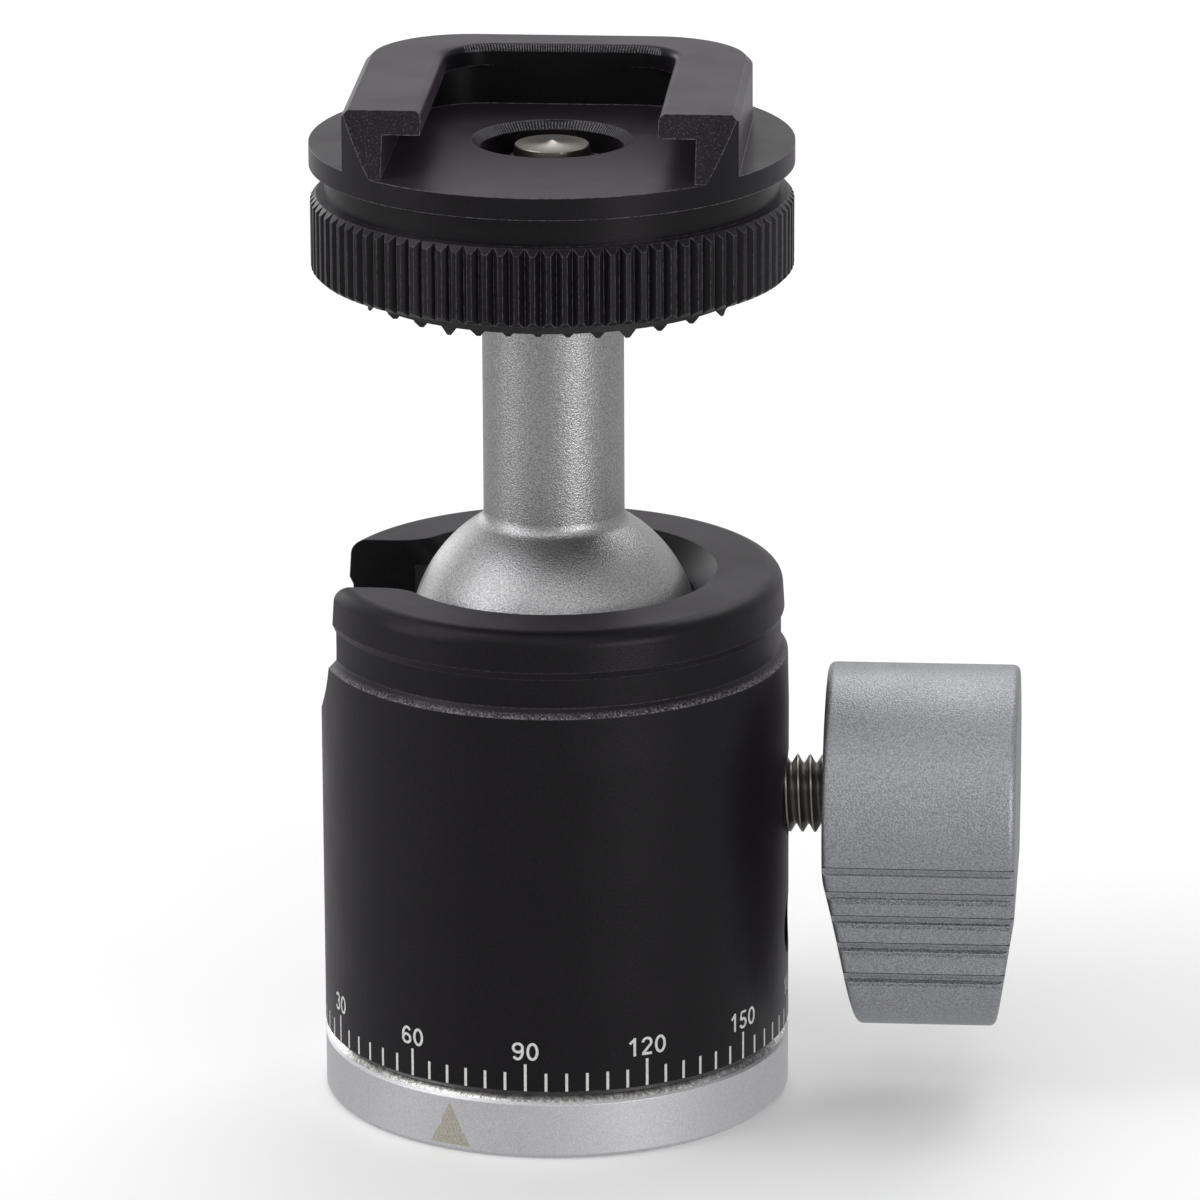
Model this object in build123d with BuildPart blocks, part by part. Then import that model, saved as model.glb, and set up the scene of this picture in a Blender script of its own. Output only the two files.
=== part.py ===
from build123d import *

import os
from math import cos, pi, radians, sin, sqrt, tan

# Compact tripod ball head with a cold-shoe socket on its stem.
# Frame: millimetres, +Z up, origin at the middle of the base's underside. The clamp knob stands
# out along +X, the drop notch opens towards -X and the shoe socket is entered from -Y.

# ---------------------------------------------------------------- driving dimensions
body_r = 15.0  # radius of the housing and of the base
seam_z = 4.2  # top of the base flange
rim_z = 34.7  # top of the housing
ball_z = 30.0  # centre of the ball
ball_r = 9.3
stem_r = 4.5
stem_top_z = 54.0
clamp_z = 19.8  # axis of the clamp screw and of the knob
set_screw_z = 11.0  # axis of the screw that holds the base
running = 0.05  # radial clearance of turning and sliding fits
film = 0.1  # gap between spherical faces

# ---------------------------------------------------------------- base plate
base_foot_chamfer = 0.3
base_edge_chamfer = 0.55
tripod_r = 3.175  # 1/4"-20 major radius
tripod_depth = 9.0
drill_tip = tripod_r * tan(radians(31))  # 118 degree drill point
relief_inner_r = 9.0
relief_outer_r = 12.5
relief_depth = 0.3
washer_inner_r = 11.6
washer_outer_r = 13.6
washer_seat = 0.35
spigot_r = 11.0
spigot_top_z = 14.4
spigot_chamfer = 0.5
groove_depth = 1.2
groove_half_mouth = 1.7
groove_half_floor = 1.3

with BuildPart() as base_plate:
    with BuildSketch(Plane.XZ):
        with BuildLine():
            Polyline(
                (0, tripod_depth + drill_tip),
                (tripod_r, tripod_depth),
                (tripod_r, 0),
                (relief_inner_r, 0),
                (relief_inner_r, relief_depth),
                (relief_outer_r, relief_depth),
                (relief_outer_r, 0),
                (body_r - base_foot_chamfer, 0),
                (body_r, base_foot_chamfer),
                (body_r, seam_z - base_edge_chamfer),
                (body_r - base_edge_chamfer, seam_z),
                (washer_outer_r, seam_z),
                (washer_outer_r, seam_z - washer_seat),
                (washer_inner_r, seam_z - washer_seat),
                (washer_inner_r, seam_z),
                (spigot_r, seam_z),
                (spigot_r, set_screw_z - groove_half_mouth),
                (spigot_r - groove_depth, set_screw_z - groove_half_floor),
                (spigot_r - groove_depth, set_screw_z + groove_half_floor),
                (spigot_r, set_screw_z + groove_half_mouth),
                (spigot_r, spigot_top_z - spigot_chamfer),
                (spigot_r - spigot_chamfer, spigot_top_z),
                (0, spigot_top_z),
                close=True,
            )
        make_face()
    revolve(axis=Axis.Z)
base_plate.part.label = "base_plate"

# ---------------------------------------------------------------- pan washer
seam_gap = 0.05  # the washer lifts the housing clear of the flange
housing_foot_z = seam_z + seam_gap

with BuildPart() as pan_washer:
    with BuildSketch(Plane.XY.offset(seam_z - washer_seat)):
        Circle(washer_outer_r - running)
        Circle(washer_inner_r + running, mode=Mode.SUBTRACT)
    extrude(amount=washer_seat + seam_gap)
pan_washer.part.label = "pan_washer"

# ---------------------------------------------------------------- housing
bore_r = 10.8  # bore above the base spigot
spigot_bore_r = spigot_r + running
bore_step_z = 14.7
foot_chamfer = 0.3
flank_top_z = 29.25  # top of the long flank, where the relief chamfer starts
flank_top_r = 14.93
flank_full_z = 25.9  # the flank reaches its full radius here
relief_r = 14.48
relief_low_z = 29.85
relief_high_z = 31.7
band_low_z = 32.2
band_low_r = 14.7
band_top_r = 14.55
rim_fillet = 1.0
mouth_r = 10.4  # ball opening at the rim
lip_z = 33.0  # underside of the lip that keeps the ball in
lip_r = 8.9
notch_half = 5.25
notch_centre_z = 30.5
notch_corner_r = 1.8
clamp_screw_r = 2.5  # M5
clamp_hole_sink = 0.35
set_screw_r = 2.0  # M4
key_half = 1.05
key_depth_r = 11.7
key_top_z = 18.1

notch_plane = Plane.YZ.offset(-body_r - 1)
with BuildPart() as housing:
    with BuildSketch(Plane.XZ) as housing_section:
        with BuildLine():
            Polyline(
                (spigot_bore_r + foot_chamfer, housing_foot_z),
                (body_r - foot_chamfer, housing_foot_z),
                (body_r, housing_foot_z + foot_chamfer),
                (body_r, flank_full_z),
                (flank_top_r, flank_top_z),
                (relief_r, relief_low_z),
                (relief_r, relief_high_z),
                (band_low_r, band_low_z),
                (band_top_r, rim_z),
                (mouth_r, rim_z),
                (lip_r, lip_z),
                (bore_r, lip_z),
                (bore_r, bore_step_z),
                (spigot_bore_r, bore_step_z),
                (spigot_bore_r, housing_foot_z + foot_chamfer),
                close=True,
            )
        make_face()
        rim_corner = housing_section.vertices().sort_by_distance((band_top_r, rim_z))[0]
        fillet(rim_corner, radius=rim_fillet)
    revolve(axis=Axis.Z)
    # drop notch, a round-bottomed slot through the wall towards -X
    with BuildSketch(notch_plane):
        with Locations((0, notch_centre_z)):
            Circle(notch_half)
            Rectangle(2 * notch_half, body_r, align=(Align.CENTER, Align.MIN))
    extrude(amount=body_r + 1, mode=Mode.SUBTRACT)
    corners = housing.edges().filter_by(
        lambda e: lip_z < e.center().Z < rim_z
        and abs(abs(e.center().Y) - notch_half) < 0.01
        and -mouth_r < e.center().X < -lip_r / 2
    )
    fillet(corners, radius=notch_corner_r)
    # hole of the clamp screw, with its mouth sunk a little
    with BuildSketch(Plane.YZ.offset(bore_r - 1)):
        with Locations((0, clamp_z)):
            Circle(clamp_screw_r + running)
    extrude(amount=body_r, mode=Mode.SUBTRACT)
    with Locations(Location((body_r, 0, clamp_z), (0, 90, 0))):
        Cone(
            clamp_screw_r,
            clamp_screw_r + 2 * clamp_hole_sink,
            2 * clamp_hole_sink,
            mode=Mode.SUBTRACT,
        )
    # hole of the set screw, straight below the clamp screw
    with BuildSketch(Plane.YZ.offset(spigot_r - 1)):
        with Locations((0, set_screw_z)):
            Circle(set_screw_r)
    extrude(amount=body_r, mode=Mode.SUBTRACT)
    # keyway for the piston's guide pin, inside the bore at +Y
    with BuildSketch(Plane.XZ.offset(-bore_r + 1)):
        with Locations((0, key_top_z)):
            Circle(key_half)
            Rectangle(2 * key_half, key_top_z - bore_step_z + 0.1, align=(Align.CENTER, Align.MAX))
    extrude(amount=-(key_depth_r - bore_r + 1), mode=Mode.SUBTRACT)
housing.part.label = "housing"

# ---------------------------------------------------------------- seat ring
seat_low_z = 30.3
seat_r = ball_r + film


def sphere_radius_at(z, radius):
    """Radius of a horizontal cut at height z through a sphere about the ball's centre."""
    return sqrt(radius**2 - (z - ball_z) ** 2)


seat_mid_z = (seat_low_z + lip_z) / 2
with BuildPart() as seat_ring:
    with BuildSketch(Plane.XZ):
        with BuildLine():
            ThreePointArc(
                (sphere_radius_at(seat_low_z, seat_r), seat_low_z),
                (sphere_radius_at(seat_mid_z, seat_r), seat_mid_z),
                (sphere_radius_at(lip_z, seat_r), lip_z),
            )
            Polyline(
                (sphere_radius_at(lip_z, seat_r), lip_z),
                (bore_r, lip_z),
                (bore_r, seat_low_z),
                (sphere_radius_at(seat_low_z, seat_r), seat_low_z),
            )
        make_face()
    revolve(axis=Axis.Z)
    with BuildSketch(notch_plane):
        with Locations((0, notch_centre_z)):
            Circle(notch_half)
            Rectangle(2 * notch_half, body_r, align=(Align.CENTER, Align.MIN))
    extrude(amount=body_r + 1, mode=Mode.SUBTRACT)
seat_ring.part.label = "seat_ring"

# ---------------------------------------------------------------- set screw and its nylon tip
set_screw_face = 14.2  # outer end, sunk below the housing's surface
set_screw_nose = 11.3
socket_af = 2.0
socket_depth = 1.4
nylon_r = 1.2
nylon_nose = spigot_r - groove_depth + running

with BuildPart() as set_screw:
    with BuildSketch(Plane.YZ.offset(set_screw_nose)):
        with Locations((0, set_screw_z)):
            Circle(set_screw_r)
    extrude(amount=set_screw_face - set_screw_nose)
    with BuildSketch(Plane.YZ.offset(set_screw_face)):
        with Locations((0, set_screw_z)):
            RegularPolygon(socket_af / 2, 6, major_radius=False)
    extrude(amount=-socket_depth, mode=Mode.SUBTRACT)
set_screw.part.label = "set_screw"

with BuildPart() as nylon_tip:
    with BuildSketch(Plane.YZ.offset(nylon_nose)):
        with Locations((0, set_screw_z)):
            Circle(nylon_r)
    extrude(amount=set_screw_nose - nylon_nose)
nylon_tip.part.label = "nylon_tip"

# ---------------------------------------------------------------- springs under the piston
spring_inner_r = 4.0
spring_outer_r = 7.0
spring_sheet = 0.4
spring_rise = 0.34
spring_washer_thick = 0.3
spring_foot_z = spigot_top_z + spring_washer_thick
spring_gap = 0.01

with BuildPart() as spring_washer:
    with BuildSketch(Plane.XY.offset(spigot_top_z)):
        Circle(spring_outer_r + 0.4)
        Circle(spring_inner_r - 0.4, mode=Mode.SUBTRACT)
    extrude(amount=spring_washer_thick)
spring_washer.part.label = "spring_washer"

# two coned discs, set with their inner edges together
spring_mid_z = spring_foot_z + spring_sheet + spring_rise
with BuildPart() as disc_springs:
    with BuildSketch(Plane.XZ):
        with BuildLine():
            Polyline(
                (spring_outer_r, spring_foot_z),
                (spring_outer_r, spring_foot_z + spring_sheet),
                (spring_inner_r, spring_mid_z),
                (spring_inner_r, spring_mid_z - spring_sheet),
                close=True,
            )
        make_face()
        with BuildLine():
            Polyline(
                (spring_inner_r, spring_mid_z + spring_gap),
                (spring_outer_r, spring_mid_z + spring_gap + spring_rise),
                (spring_outer_r, spring_mid_z + spring_gap + spring_rise + spring_sheet),
                (spring_inner_r, spring_mid_z + spring_gap + spring_sheet),
                close=True,
            )
        make_face()
    revolve(axis=Axis.Z)
disc_springs.part.label = "disc_springs"

# ---------------------------------------------------------------- pressure piston
piston_r = bore_r - film
piston_low_z = 16.2
piston_top_z = 24.6
cup_outer_r = ball_r + film + 0.8  # friction cup between the ball and the piston
piston_seat_r = cup_outer_r + film
cone_angle = 30  # half angle of the thrust pin's point
cone_nose_x = 6.5
cone_nose_r = 0.6
cone_gap = film / cos(radians(cone_angle))
guide_r = 1.0
guide_z = 18.0
guide_inner_y = 8.3
guide_outer_y = 11.5

seat_floor_z = ball_z - piston_seat_r
seat_turn = radians(35)
with BuildPart() as pressure_piston:
    with BuildSketch(Plane.XZ):
        with BuildLine():
            ThreePointArc(
                (0, seat_floor_z),
                (piston_seat_r * sin(seat_turn), ball_z - piston_seat_r * cos(seat_turn)),
                (sphere_radius_at(piston_top_z, piston_seat_r), piston_top_z),
            )
            Polyline(
                (sphere_radius_at(piston_top_z, piston_seat_r), piston_top_z),
                (piston_r, piston_top_z),
                (piston_r, piston_low_z),
                (0, piston_low_z),
                (0, seat_floor_z),
            )
        make_face()
    revolve(axis=Axis.Z)
    # coned pocket that the thrust pin wedges in
    with BuildSketch(Plane.XZ):
        with BuildLine():
            Polyline(
                (cone_nose_x - film, clamp_z),
                (cone_nose_x - film, clamp_z + cone_nose_r + cone_gap),
                (piston_r + 1, clamp_z + cone_nose_r + cone_gap
                 + (piston_r + 1 - cone_nose_x) * tan(radians(cone_angle))),
                (piston_r + 1, clamp_z),
                close=True,
            )
        make_face()
    revolve(axis=Axis((0, 0, clamp_z), (1, 0, 0)), mode=Mode.SUBTRACT)
    with BuildSketch(Plane.XZ.offset(-guide_inner_y)):
        with Locations((0, guide_z)):
            Circle(guide_r)
    extrude(amount=-(guide_outer_y - guide_inner_y), mode=Mode.SUBTRACT)
pressure_piston.part.label = "pressure_piston"

with BuildPart() as guide_pin:
    with BuildSketch(Plane.XZ.offset(-guide_inner_y)):
        with Locations((0, guide_z)):
            Circle(guide_r)
    extrude(amount=-(guide_outer_y - guide_inner_y))
guide_pin.part.label = "guide_pin"

# ---------------------------------------------------------------- friction cup
cup_inner_r = ball_r + film
cup_from = 9  # degrees up from straight below the ball: a small hole in the middle
cup_to = 42

with BuildPart() as friction_cup:
    with BuildSketch(Plane.XZ):
        with BuildLine():
            inner = CenterArc((0, ball_z), cup_inner_r, -90 + cup_from, cup_to - cup_from)
            outer = CenterArc((0, ball_z), cup_outer_r, -90 + cup_from, cup_to - cup_from)
            Line(inner @ 0, outer @ 0)
            Line(inner @ 1, outer @ 1)
        make_face()
    revolve(axis=Axis.Z)
friction_cup.part.label = "friction_cup"

# ---------------------------------------------------------------- ball and stem
stem_root_z = ball_z + sqrt(ball_r**2 - stem_r**2)
stem_fillet = 1.0
stem_chamfer = 0.3
stud_r = 3.15
stud_low_z = 44.3

with BuildPart() as ball_stem:
    with BuildSketch(Plane.XZ) as ball_section:
        with BuildLine():
            ThreePointArc((0, ball_z - ball_r), (ball_r, ball_z), (stem_r, stem_root_z))
            Polyline(
                (stem_r, stem_root_z),
                (stem_r, stem_top_z - stem_chamfer),
                (stem_r - stem_chamfer, stem_top_z),
                (stud_r, stem_top_z),
                (stud_r, stud_low_z),
                (0, stud_low_z),
                (0, ball_z - ball_r),
            )
        make_face()
        root = ball_section.vertices().sort_by_distance((stem_r, stem_root_z))[0]
        fillet(root, radius=stem_fillet)
    revolve(axis=Axis.Z)
ball_stem.part.label = "ball_stem"

# ---------------------------------------------------------------- stud on the stem
disc_top_z = 62.8  # floor of the shoe socket
stud_top_z = disc_top_z - 0.3
stud_low_chamfer = 0.45
dog_end_r = 2.35  # plain point above the thread
dog_foot_r = 2.45
dog_height = 0.6
stud_crown = 0.06
nib_r = 0.18
nib_foot_r = 0.6
nib_height = 0.25

with BuildPart() as top_stud:
    with BuildSketch(Plane.XZ):
        with BuildLine():
            Polyline(
                (0, stud_low_z),
                (stud_r - stud_low_chamfer, stud_low_z),
                (stud_r, stud_low_z + stud_low_chamfer),
                (stud_r, stud_top_z - dog_height - (stud_r - dog_foot_r)),
                (dog_foot_r, stud_top_z - dog_height),
                (dog_end_r, stud_top_z),
                (nib_foot_r, stud_top_z + stud_crown),
                (nib_r, stud_top_z + nib_height),
                (0, stud_top_z + nib_height),
                close=True,
            )
        make_face()
    revolve(axis=Axis.Z)
top_stud.part.label = "top_stud"

# ---------------------------------------------------------------- lock wheel
wheel_low_z = 54.55
wheel_top_z = 59.5
wheel_tip_r = 15.25
wheel_root_r = 14.82
wheel_top_r = 14.88  # edge of the top face
wheel_low_r = 14.95  # edge of the underside
wheel_top_chamfer = 0.4
wheel_low_chamfer = 0.3
wheel_teeth = 96
tip_share = 0.3  # part of a tooth's pitch that its flat crest takes
chamfer_tool_r = wheel_tip_r + 0.1


def on_circle(radius, turn):
    """Point on a circle about the origin, at a turn given in whole turns."""
    return (radius * cos(2 * pi * turn), radius * sin(2 * pi * turn))


knurl = []
for tooth in range(wheel_teeth):
    knurl.append(on_circle(wheel_tip_r, (tooth - tip_share / 2) / wheel_teeth))
    knurl.append(on_circle(wheel_tip_r, (tooth + tip_share / 2) / wheel_teeth))
    knurl.append(on_circle(wheel_root_r, (tooth + 0.5) / wheel_teeth))

with BuildPart() as lock_wheel:
    with BuildSketch(Plane.XY.offset(wheel_low_z)):
        with BuildLine():
            Polyline(*knurl, close=True)
        make_face()
        Circle(stud_r + running, mode=Mode.SUBTRACT)
    extrude(amount=wheel_top_z - wheel_low_z)
    # chamfered edges, one flat for each tooth
    top_slope = wheel_top_chamfer / (wheel_tip_r - wheel_top_r)
    low_slope = wheel_low_chamfer / (wheel_tip_r - wheel_low_r)
    stations = (
        (wheel_low_z, wheel_low_r),
        (wheel_low_z + low_slope * (chamfer_tool_r - wheel_low_r), chamfer_tool_r),
        (wheel_top_z - top_slope * (chamfer_tool_r - wheel_top_r), chamfer_tool_r),
        (wheel_top_z, wheel_top_r),
    )
    for height, flat_r in stations:
        with BuildSketch(Plane.XY.offset(height)):
            RegularPolygon(flat_r, wheel_teeth, major_radius=False, rotation=180 / wheel_teeth)
    loft(ruled=True, mode=Mode.INTERSECT)
lock_wheel.part.label = "lock_wheel"

# ---------------------------------------------------------------- rubber pad
pad_inner_r = 5.0
pad_outer_r = 12.4
pad_low_z = 52.95
pad_pitch = 1.85
pad_tooth = 0.5  # height of the teeth
tooth_tip_half = 0.12
tooth_foot_half = 0.5
pad_grooves = 14  # each way

with BuildPart() as rubber_pad:
    with BuildSketch(Plane.XY.offset(pad_low_z)):
        Circle(pad_outer_r)
        Circle(pad_inner_r, mode=Mode.SUBTRACT)
    extrude(amount=wheel_low_z - pad_low_z)
    # crossed flat-bottomed grooves that leave square pyramids
    tip_gap = pad_pitch / 2 - tooth_tip_half
    foot_gap = pad_pitch / 2 - tooth_foot_half
    for direction in (Plane.XZ, Plane.YZ):
        with BuildSketch(direction.offset(-pad_outer_r - 1)):
            with Locations((0, pad_low_z)):
                with GridLocations(pad_pitch, 1, pad_grooves, 1):
                    Polygon(
                        (-tip_gap, 0),
                        (tip_gap, 0),
                        (foot_gap, pad_tooth),
                        (-foot_gap, pad_tooth),
                        align=None,
                    )
        extrude(amount=2 * pad_outer_r + 2, mode=Mode.SUBTRACT)
rubber_pad.part.label = "rubber_pad"

# ---------------------------------------------------------------- shoe socket
disc_r = 15.3
disc_thick = 1.4
neck_r = 14.35
rail_top_z = 66.7
rail_half = 12.3
rail_corner_r = 6.5
lip_under_z = 65.3
shoe_gap_half = 7.35
shoe_slot_half = 9.7
shoe_back_y = 9.2
gap_corner_r = 3.0
slot_corner_r = 5.0
lip_round = 0.5
rail_chamfer = 0.4
front_top_y = -sqrt(disc_r**2 - rail_half**2)
front_floor_y = front_top_y - 2.1
sink_r = 4.55
sink_floor_z = 60.9
sink_chamfer = 0.5

with BuildPart() as shoe_socket:
    with BuildSketch(Plane.XY.offset(wheel_top_z)):
        Circle(neck_r)
    extrude(amount=disc_top_z - disc_thick - wheel_top_z)
    with BuildSketch(Plane.XY.offset(disc_top_z - disc_thick)):
        Circle(disc_r)
    extrude(amount=disc_thick)
    # rail block: square with round back corners, cut to the disc's round at the front
    with BuildSketch(Plane.XY.offset(disc_top_z)) as block:
        with Locations((0, (rail_half - disc_r) / 2)):
            Rectangle(2 * rail_half, rail_half + disc_r)
        back = block.vertices().group_by(Axis.Y)[-1]
        fillet(back, radius=rail_corner_r)
        Circle(disc_r, mode=Mode.INTERSECT)
    extrude(amount=rail_top_z - disc_top_z)
    # sloped front of the rails
    with BuildSketch(Plane.YZ.offset(-disc_r)):
        with BuildLine():
            Polyline(
                (front_top_y, rail_top_z),
                (front_floor_y, disc_top_z),
                (-disc_r - 1, disc_top_z),
                (-disc_r - 1, rail_top_z),
                close=True,
            )
        make_face()
    extrude(amount=2 * disc_r, mode=Mode.SUBTRACT)
    # gap between the lips, and the wider slot under them
    with BuildSketch(Plane.XY.offset(lip_under_z)) as gap:
        with Locations((0, (shoe_back_y - disc_r) / 2)):
            Rectangle(2 * shoe_gap_half, shoe_back_y + disc_r)
        fillet(gap.vertices().group_by(Axis.Y)[-1], radius=gap_corner_r)
    extrude(amount=rail_top_z - lip_under_z, mode=Mode.SUBTRACT)
    with BuildSketch(Plane.XY.offset(disc_top_z)) as slot:
        with Locations((0, (shoe_back_y - disc_r) / 2)):
            Rectangle(2 * shoe_slot_half, shoe_back_y + disc_r)
        fillet(slot.vertices().group_by(Axis.Y)[-1], radius=slot_corner_r)
    extrude(amount=lip_under_z - disc_top_z, mode=Mode.SUBTRACT)
    # stud hole, and the sink round the stud's end
    with BuildSketch(Plane.XZ):
        with BuildLine():
            Polyline(
                (0, wheel_top_z),
                (stud_r + running, wheel_top_z),
                (stud_r + running, sink_floor_z),
                (sink_r, sink_floor_z),
                (sink_r, disc_top_z - sink_chamfer),
                (sink_r + sink_chamfer, disc_top_z),
                (0, disc_top_z),
                close=True,
            )
        make_face()
    revolve(axis=Axis.Z, mode=Mode.SUBTRACT)
    # inner top edges of the lips are rounded, the outer ones chamfered; the front ones stay sharp
    top_edges = shoe_socket.edges().filter_by(
        lambda e: abs(e.center().Z - rail_top_z) < 0.01 and e.center().Y > front_top_y + 0.01
    )
    inner_top = top_edges.filter_by(
        lambda e: abs(e.center().X) < shoe_gap_half + 0.01 and e.center().Y < shoe_back_y + 0.01
    )
    outer_top = [edge for edge in top_edges if edge not in inner_top]
    chamfer(outer_top, length=rail_chamfer)
    fillet(shoe_socket.edges().filter_by(lambda e: e in inner_top), radius=lip_round)
shoe_socket.part.label = "shoe_socket"

# ---------------------------------------------------------------- knob
knob_inner_x = 17.5
knob_outer_x = 29.75
hub_r = 8.5
tail_r = 5.8
tail_drop = 9.45
waist_r = 20.0  # concave flank between the hub and the tail
inner_taper = 2.2  # how far each end face runs in towards the tail's tip
outer_taper = 1.3
inner_taper_drop = 3.3  # how far below the axis each taper starts
outer_taper_drop = 6.0
taper_bend_r = 8.0
knob_edge = 0.45
grip_drops = (2.2, 4.05, 5.9, 7.9, 10.1)  # the grip's steps, below the axis
grip_depth = 0.28
grip_undercut = 0.15
grip_height = 0.5
grip_ramp = 1.0  # height of the sloped run out of each step
grip_clear = 1.0  # how far the cutters stand out of the flank
screw_end_x = 26.0

waist_z = ((tail_r - hub_r) * (tail_r + hub_r + 2 * waist_r) - tail_drop**2) / (2 * tail_drop)
waist_y = sqrt((hub_r + waist_r) ** 2 - waist_z**2)
hub_share = hub_r / (hub_r + waist_r)
tail_share = tail_r / (tail_r + waist_r)
hub_end = (waist_y * hub_share, clamp_z + waist_z * hub_share)
tail_end = (
    waist_y * tail_share,
    clamp_z - tail_drop + (waist_z + tail_drop) * tail_share,
)



def knob_half_width(drop):
    """Half the knob's width at a drop below its axis: the hub's round, then the hollow flank."""
    if drop < clamp_z - hub_end[1]:
        return sqrt(hub_r**2 - drop**2)
    return waist_y - sqrt(waist_r**2 - (drop + waist_z) ** 2)


with BuildPart() as knob:
    with BuildSketch(Plane.YZ.offset(knob_inner_x)):
        with BuildLine():
            ThreePointArc((-hub_end[0], hub_end[1]), (0, clamp_z + hub_r), hub_end)
            RadiusArc(hub_end, tail_end, -waist_r)
            ThreePointArc(
                tail_end,
                (0, clamp_z - tail_drop - tail_r),
                (-tail_end[0], tail_end[1]),
            )
            RadiusArc((-tail_end[0], tail_end[1]), (-hub_end[0], hub_end[1]), -waist_r)
        make_face()
    extrude(amount=knob_outer_x - knob_inner_x)
    # side outline: both end faces run in towards the tail's tip
    taper_low_z = clamp_z - tail_drop - tail_r
    with BuildSketch(Plane.XZ.offset(-hub_r - 1)) as side_outline:
        with BuildLine():
            Polyline(
                (knob_inner_x, clamp_z + hub_r + 1),
                (knob_inner_x, clamp_z - inner_taper_drop),
                (knob_inner_x + inner_taper, taper_low_z),
                (knob_outer_x - outer_taper, taper_low_z),
                (knob_outer_x, clamp_z - outer_taper_drop),
                (knob_outer_x, clamp_z + hub_r + 1),
                close=True,
            )
        make_face()
        bends = side_outline.vertices().filter_by(lambda v: taper_low_z + 1 < v.Y < clamp_z)
        fillet(bends, radius=taper_bend_r)
    extrude(amount=2 * hub_r + 2, mode=Mode.INTERSECT)
    flanks = knob.faces().filter_by(lambda f: abs(f.normal_at(f.center()).X) < 0.3)
    ends = knob.faces().filter_by(lambda f: abs(f.normal_at(f.center()).X) > 0.9)
    flank_edges = set(flanks.edges())
    fillet(ends.edges().filter_by(lambda e: e in flank_edges), radius=knob_edge)
    # grip: saw-tooth steps across both flanks
    with BuildSketch(Plane.YZ.offset(knob_inner_x - 1)):
        for side in (1, -1):
            for drop in grip_drops:
                step_z = clamp_z - drop
                flank_y = knob_half_width(drop)
                with BuildLine():
                    Polyline(
                        (side * (flank_y + grip_clear), step_z),
                        (side * (flank_y - grip_depth), step_z),
                        (side * (flank_y - grip_depth - grip_undercut), step_z - grip_height),
                        (side * (flank_y + grip_clear), step_z - grip_height - grip_ramp),
                        close=True,
                    )
                make_face()
    extrude(amount=knob_outer_x - knob_inner_x + 2, mode=Mode.SUBTRACT)
    # blind hole for the clamp screw
    with BuildSketch(Plane.YZ.offset(knob_inner_x)):
        with Locations((0, clamp_z)):
            Circle(clamp_screw_r)
    extrude(amount=screw_end_x - knob_inner_x, mode=Mode.SUBTRACT)
knob.part.label = "knob"

# ---------------------------------------------------------------- clamp screw and thrust pin
screw_nose_x = 11.0
screw_chamfer = 0.4
shank_r = 1.2
shank_end_x = 13.5
pin_r = 2.4

with BuildPart() as clamp_screw:
    with BuildSketch(Plane.XZ):
        with BuildLine():
            Polyline(
                (screw_nose_x, clamp_z + shank_r + running),
                (screw_nose_x, clamp_z + clamp_screw_r - screw_chamfer),
                (screw_nose_x + screw_chamfer, clamp_z + clamp_screw_r),
                (screw_end_x, clamp_z + clamp_screw_r),
                (screw_end_x, clamp_z),
                (shank_end_x + film, clamp_z),
                (shank_end_x + film, clamp_z + shank_r + running),
                close=True,
            )
        make_face()
    revolve(axis=Axis((0, 0, clamp_z), (1, 0, 0)))
clamp_screw.part.label = "clamp_screw"

cone_root_x = cone_nose_x + (pin_r - cone_nose_r) / tan(radians(cone_angle))
with BuildPart() as thrust_pin:
    with BuildSketch(Plane.XZ):
        with BuildLine():
            Polyline(
                (cone_nose_x, clamp_z),
                (cone_nose_x, clamp_z + cone_nose_r),
                (cone_root_x, clamp_z + pin_r),
                (screw_nose_x, clamp_z + pin_r),
                (screw_nose_x, clamp_z + shank_r),
                (shank_end_x, clamp_z + shank_r),
                (shank_end_x, clamp_z),
                close=True,
            )
        make_face()
    revolve(axis=Axis((0, 0, clamp_z), (1, 0, 0)))
thrust_pin.part.label = "thrust_pin"

# ---------------------------------------------------------------- one STEP file for each piece
pieces = (
    base_plate,
    pan_washer,
    housing,
    seat_ring,
    set_screw,
    nylon_tip,
    spring_washer,
    disc_springs,
    pressure_piston,
    guide_pin,
    friction_cup,
    ball_stem,
    top_stud,
    lock_wheel,
    rubber_pad,
    shoe_socket,
    knob,
    clamp_screw,
    thrust_pin,
)
os.makedirs("parts", exist_ok=True)
for piece in pieces:
    export_step(piece.part, f"parts/{piece.part.label}.step")
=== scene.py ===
from math import cos, pi, radians, sin

import bmesh
import bpy
import numpy as np
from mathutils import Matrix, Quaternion, Vector


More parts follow.
